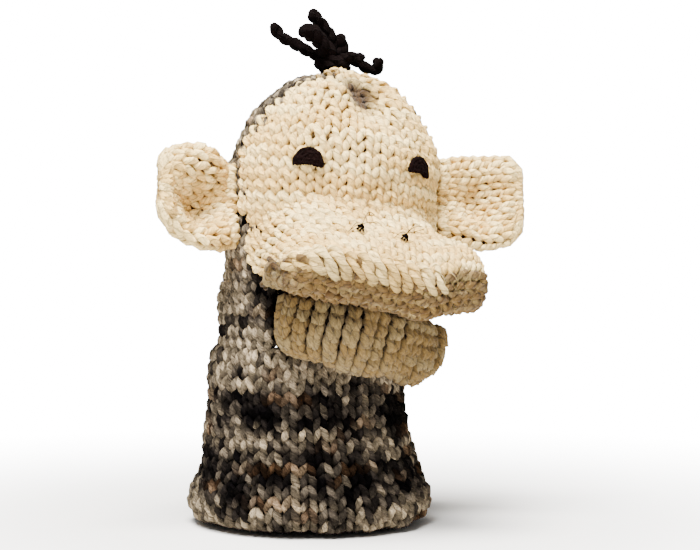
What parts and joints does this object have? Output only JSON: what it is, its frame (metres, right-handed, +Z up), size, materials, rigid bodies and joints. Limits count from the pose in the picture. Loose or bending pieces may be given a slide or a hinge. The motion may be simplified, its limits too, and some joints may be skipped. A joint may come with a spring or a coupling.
{
  "type": "knitted hand puppet",
  "caption": "Hand-knitted monkey glove puppet in bulky wool, with a variegated sleeve and head, a cream face, sewn-on ears, a moving muzzle and jaw and a dark tuft of yarn.",
  "frame": {"origin": "centre of the hand opening, in the plane of the rolled hem's underside", "axes": "+Z up through the sleeve, -Y the way the face looks, +X the puppet's own left"},
  "size_m": [0.1852, 0.136, 0.2468],
  "materials": {
    "knit_variegated": "matte",
    "knit_cream": "matte",
    "felt_dark": "matte",
    "yarn_dark": "matte"
  },
  "bodies": {
    "sleeve": {"sleeve": "knit_variegated"},
    "head": {"head_back": "knit_variegated", "face_panel": "knit_cream", "face_seam_yarn": "knit_cream", "eye_right": "felt_dark", "eye_left": "felt_dark", "ear_right_seam_yarn": "knit_cream", "ear_left_seam_yarn": "knit_cream", "tuft_knot": "yarn_dark", "tuft_strand_1": "yarn_dark", "tuft_strand_2": "yarn_dark", "tuft_strand_3": "yarn_dark", "tuft_strand_4": "yarn_dark", "tuft_strand_5": "yarn_dark", "tuft_strand_6": "yarn_dark"},
    "muzzle": {"upper_muzzle": "knit_cream", "mouth_roof": "knit_cream", "nostril_right": "yarn_dark", "nostril_left": "yarn_dark"},
    "jaw": {"lower_jaw": "knit_cream", "mouth_floor": "knit_cream"},
    "ear_right": {"ear_right": "knit_cream"},
    "ear_left": {"ear_left": "knit_cream"}
  },
  "joints": [
    {"name": "head_nod", "type": "hinge", "parent": "sleeve", "child": "head", "pos_m": [0, 0, 0.062], "axis": [1, 0, 0], "range_deg": [-12, 12]},
    {"name": "muzzle_lift", "type": "hinge", "parent": "head", "child": "muzzle", "pos_m": [0.0069, -0.02, 0.12764], "axis": [-0.9816, 0, 0.1908], "range_deg": [0, 10]},
    {"name": "jaw_open", "type": "hinge", "parent": "head", "child": "jaw", "pos_m": [-0.00108, -0.049, 0.07428], "axis": [0.9816, 0, -0.1908], "range_deg": [0, 25], "stiffness_Nm_per_rad": 0.2},
    {"name": "ear_right_fold", "type": "hinge", "parent": "head", "child": "ear_right", "pos_m": [-0.04178, -0.011, 0.14884], "axis": [0.0136, 0, 0.9999], "range_deg": [-20, 20], "stiffness_Nm_per_rad": 0.05},
    {"name": "ear_left_fold", "type": "hinge", "parent": "head", "child": "ear_left", "pos_m": [0.0616, -0.011, 0.15205], "axis": [-0.1011, 0, -0.9949], "range_deg": [-20, 20], "stiffness_Nm_per_rad": 0.05}
  ]
}
